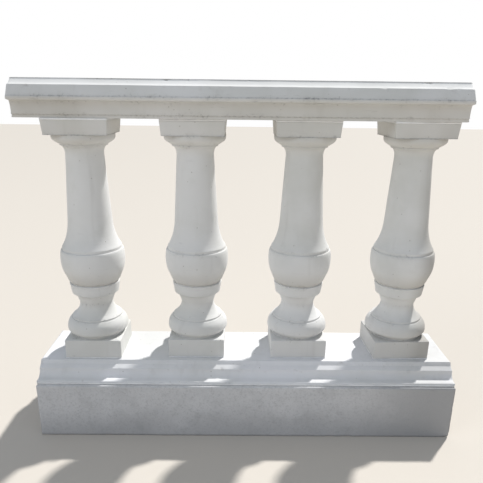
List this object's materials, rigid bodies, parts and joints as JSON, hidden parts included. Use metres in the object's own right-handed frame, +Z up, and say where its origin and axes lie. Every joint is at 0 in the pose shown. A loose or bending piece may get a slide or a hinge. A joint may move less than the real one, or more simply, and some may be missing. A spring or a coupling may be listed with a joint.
{
  "type": "concrete balustrade",
  "caption": "Free-standing length of concrete balustrade: turned balusters between a moulded bottom rail and a moulded handrail, on a plain kerb.",
  "frame": {"origin": "on the ground, under the middle of the whole run", "axes": "+X along the run to the right as seen from the front, +Z up, -Y towards the viewer at the front"},
  "size_m": [1.106, 0.3, 0.908],
  "materials": {
    "painted_concrete": "white masonry paint on fine precast concrete, matt, lightly pitted and scuffed",
    "mortar": "pale cement mortar, painted over, matt",
    "kerb_concrete": "rough grey cast concrete, weathered and stained towards the ground"
  },
  "bodies": {
    "root": {"kerb": "kerb_concrete", "levelling_bed": "mortar", "bottom_rail": "painted_concrete", "foot_bed_1": "mortar", "foot_bed_2": "mortar", "foot_bed_3": "mortar", "foot_bed_4": "mortar", "baluster_1": "painted_concrete", "baluster_2": "painted_concrete", "baluster_3": "painted_concrete", "baluster_4": "painted_concrete", "head_bed_1": "mortar", "head_bed_2": "mortar", "head_bed_3": "mortar", "head_bed_4": "mortar", "top_rail": "painted_concrete"}
  },
  "joints": []
}
